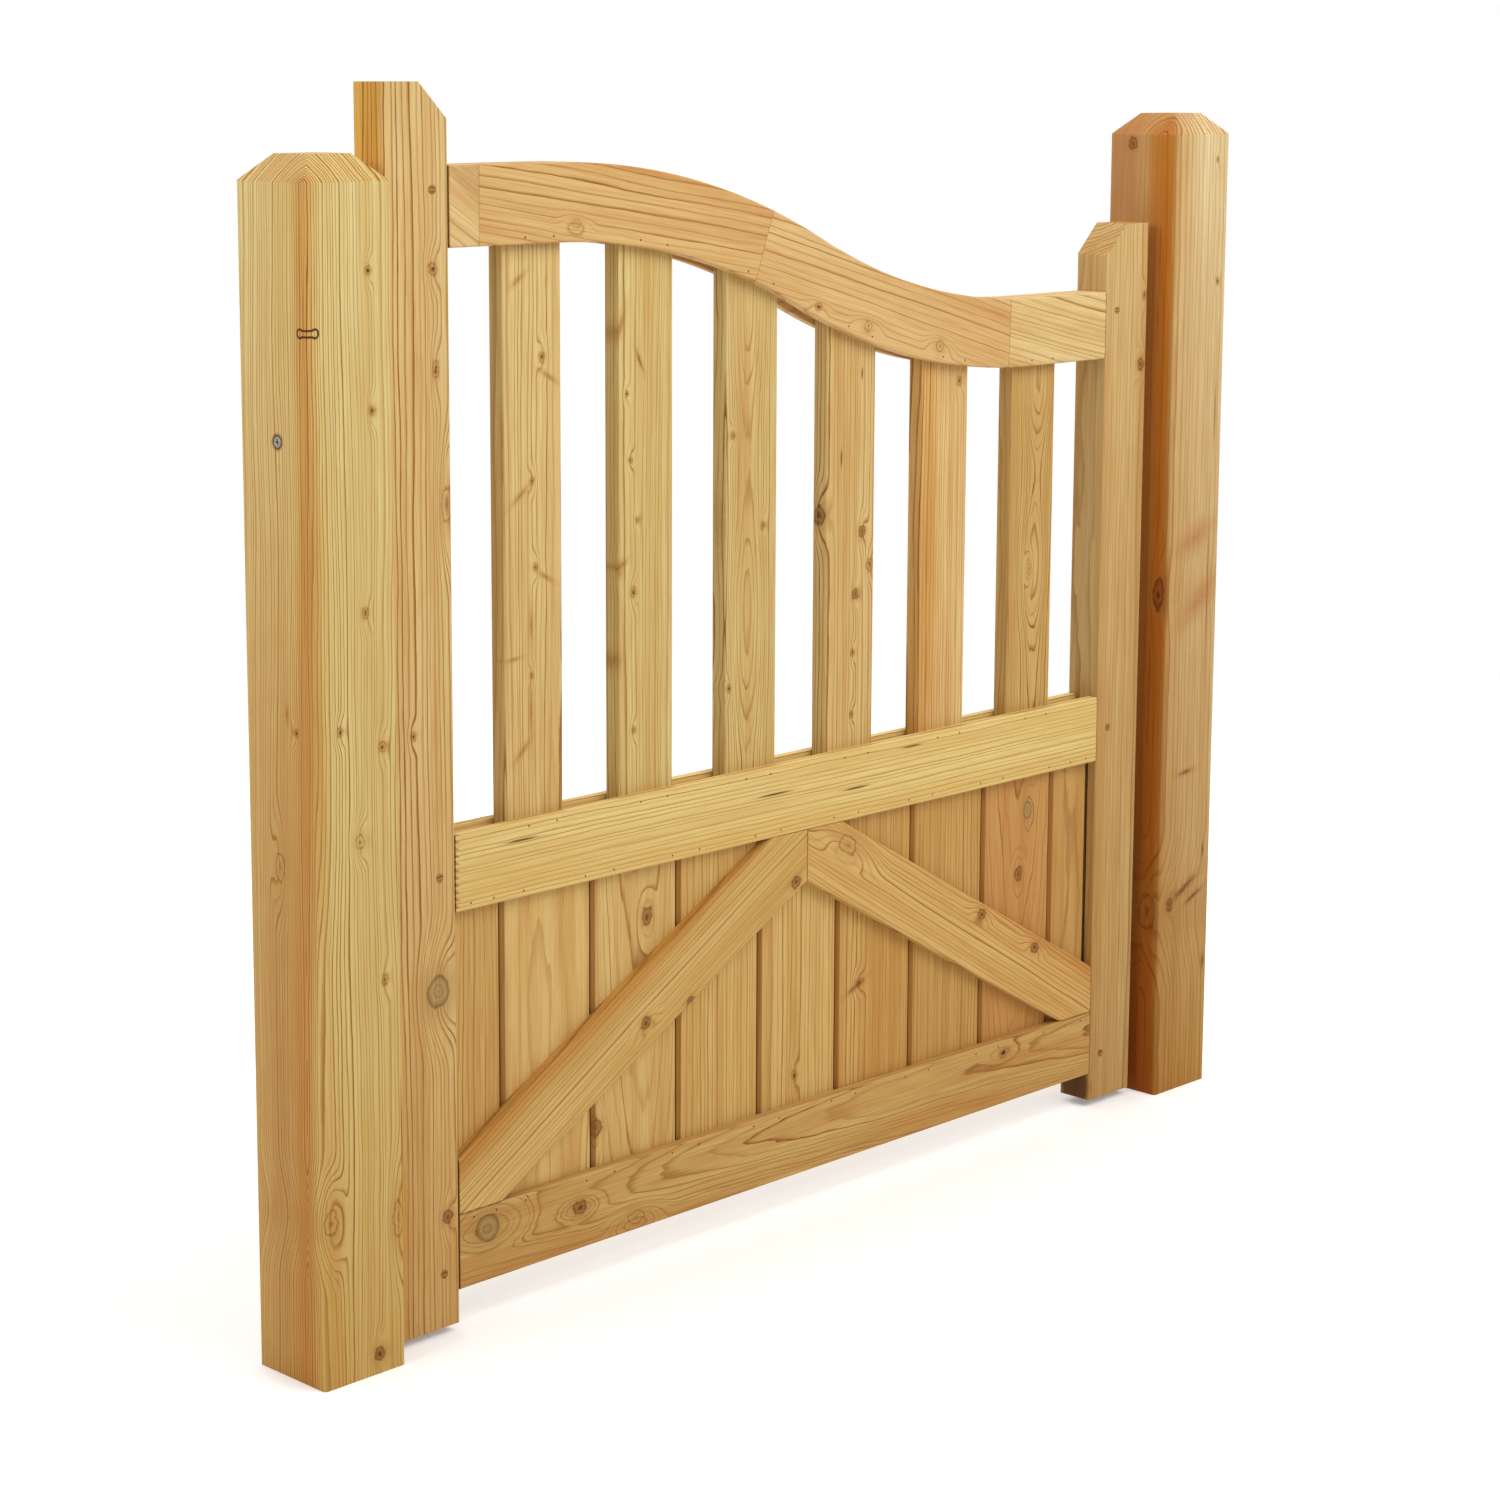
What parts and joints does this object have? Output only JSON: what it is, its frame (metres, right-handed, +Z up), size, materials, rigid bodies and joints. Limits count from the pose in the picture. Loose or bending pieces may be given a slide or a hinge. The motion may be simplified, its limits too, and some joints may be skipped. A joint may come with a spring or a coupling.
{
  "type": "arched garden gate",
  "caption": "Swan-neck softwood garden gate leaf with pales over a braced boarded panel, hung on strap hinges between two posts and held by a sliding bolt.",
  "frame": {"origin": "on the ground, midway between the two posts and in the middle of their depth", "axes": "+X along the gate from the hinge post to the latch post, +Y from the front to the back, +Z up"},
  "size_m": [1.26, 0.09, 1.108],
  "materials": {
    "larch_posts": "planed, matte",
    "larch_frame": "planed, matte",
    "larch_pales": "planed, matte",
    "larch_boards": "planed, matte",
    "hardwood_pegs": "cut end grain",
    "galvanised_steel": "hot-dip zinc, dull",
    "bright_screw_steel": "zinc plated"
  },
  "bodies": {
    "posts": {"hinge_post": "larch_posts", "latch_post": "larch_posts", "post_screw": "bright_screw_steel", "upper_hinge_pintle": "galvanised_steel", "lower_hinge_pintle": "galvanised_steel", "pintle_screws": "bright_screw_steel", "bolt_keep": "galvanised_steel", "keep_screws": "bright_screw_steel"},
    "leaf": {"board_1": "larch_boards", "board_2": "larch_boards", "board_3": "larch_boards", "board_4": "larch_boards", "board_5": "larch_boards", "board_6": "larch_boards", "board_7": "larch_boards", "board_8": "larch_boards", "board_9": "larch_boards", "board_brads": "bright_screw_steel", "bolt_plate": "galvanised_steel", "bolt_plate_screws": "bright_screw_steel", "bottom_rail": "larch_frame", "hinge_stile": "larch_frame", "hinge_stile_pegs": "hardwood_pegs", "latch_stile": "larch_frame", "latch_stile_pegs": "hardwood_pegs", "left_brace": "larch_frame", "lower_hinge_strap": "galvanised_steel", "middle_rail": "larch_frame", "pale_1": "larch_pales", "pale_2": "larch_pales", "pale_3": "larch_pales", "pale_4": "larch_pales", "pale_5": "larch_pales", "pale_6": "larch_pales", "pale_brads": "bright_screw_steel", "right_brace": "larch_frame", "strap_screws": "bright_screw_steel", "top_rail_block_1": "larch_frame", "top_rail_block_2": "larch_frame", "top_rail_block_3": "larch_frame", "top_rail_block_4": "larch_frame", "upper_hinge_strap": "galvanised_steel"},
    "bolt": {"bolt_rod": "galvanised_steel", "bolt_knob": "galvanised_steel"}
  },
  "joints": [
    {"name": "leaf_swing", "type": "hinge", "parent": "posts", "child": "leaf", "pos_m": [-0.52815, 0.03105, 0.5], "axis": [0, 0, 1], "range_deg": [0, 120]},
    {"name": "bolt_slide", "type": "slide", "parent": "leaf", "child": "bolt", "axis": [1, 0, 0], "range_m": [0, 0.04]}
  ]
}
